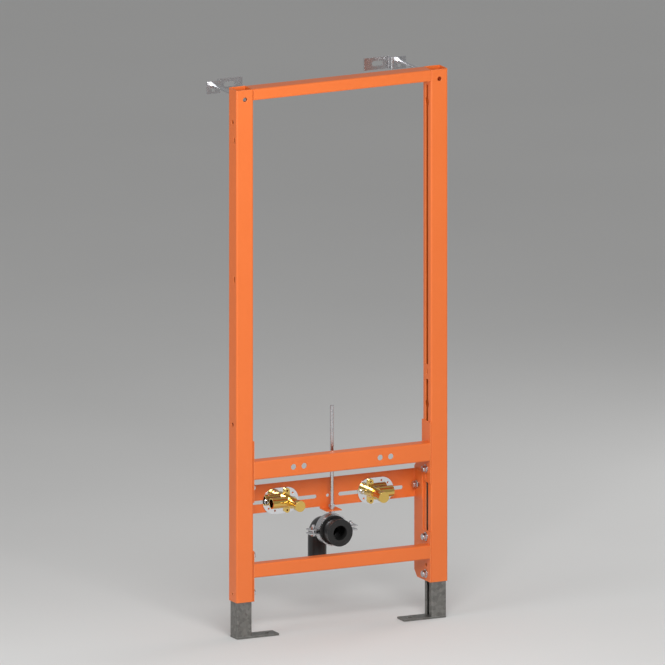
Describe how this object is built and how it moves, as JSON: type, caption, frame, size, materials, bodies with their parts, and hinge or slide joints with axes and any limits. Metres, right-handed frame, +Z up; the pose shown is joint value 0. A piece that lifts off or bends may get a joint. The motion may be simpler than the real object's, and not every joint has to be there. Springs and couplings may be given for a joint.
{
  "type": "bidet installation frame",
  "caption": "Tall sheet steel frame that carries a wall-hung bidet: slotted posts, cross rails, telescopic legs, sliding wall ties, brass water connections and a clamped waste elbow.",
  "frame": {"origin": "on the left post's outer face, at the middle of its depth, level with the bidet's fixing holes", "axes": "+X from the left post to the right one, +Y back towards the wall, +Z up"},
  "size_m": [0.5, 0.214, 1.2],
  "materials": {
    "orange_paint": "satin orange powder coat",
    "bright_zinc": "bright zinc plating",
    "galvanised_steel": "dull galvanised sheet",
    "chrome": "polished and chromed steel",
    "brass": "polished cast and turned brass",
    "black_plastic": "smooth moulded black plastic",
    "black_rubber": "soft black rubber"
  },
  "bodies": {
    "frame": {"left_post": "orange_paint", "right_post": "orange_paint", "top_rail": "orange_paint", "fixing_rail": "orange_paint", "bottom_rail": "orange_paint", "left_side_plate": "orange_paint", "right_side_plate": "orange_paint", "water_plate": "orange_paint", "left_side_screws": "bright_zinc", "right_side_screws": "bright_zinc", "left_leg_screw": "bright_zinc", "right_leg_screw": "bright_zinc", "left_rod_nut": "bright_zinc", "right_rod_nut": "bright_zinc", "left_water_flange": "chrome", "right_water_flange": "chrome", "left_water_elbow": "brass", "right_water_elbow": "brass", "left_water_cap": "brass", "right_water_cap": "brass", "left_water_bolts": "bright_zinc", "right_water_bolts": "bright_zinc", "waste_elbow": "black_plastic", "waste_seal": "black_rubber", "clamp_lining": "black_rubber", "clamp_upper": "bright_zinc", "clamp_lower": "bright_zinc", "clamp_screws": "bright_zinc", "hanger_rod": "bright_zinc", "hanger_nut": "bright_zinc"},
    "leg_left": {"left_leg": "galvanised_steel", "left_foot": "galvanised_steel"},
    "leg_right": {"right_leg": "galvanised_steel", "right_foot": "galvanised_steel"},
    "tie_left": {"left_wall_rod": "bright_zinc", "left_wall_plate": "bright_zinc", "left_wall_nuts": "bright_zinc"},
    "tie_right": {"right_wall_rod": "bright_zinc", "right_wall_plate": "bright_zinc", "right_wall_nuts": "bright_zinc"}
  },
  "joints": [
    {"name": "left_leg_slide", "type": "slide", "parent": "frame", "child": "leg_left", "axis": [0, 0, -1], "range_m": [-0.065, 0.12]},
    {"name": "right_leg_slide", "type": "slide", "parent": "frame", "child": "leg_right", "axis": [0, 0, -1], "range_m": [-0.065, 0.12]},
    {"name": "left_tie_slide", "type": "slide", "parent": "frame", "child": "tie_left", "axis": [0, 1, 0], "range_m": [0, 0.046]},
    {"name": "right_tie_slide", "type": "slide", "parent": "frame", "child": "tie_right", "axis": [0, 1, 0], "range_m": [-0.041, 0.005]}
  ]
}
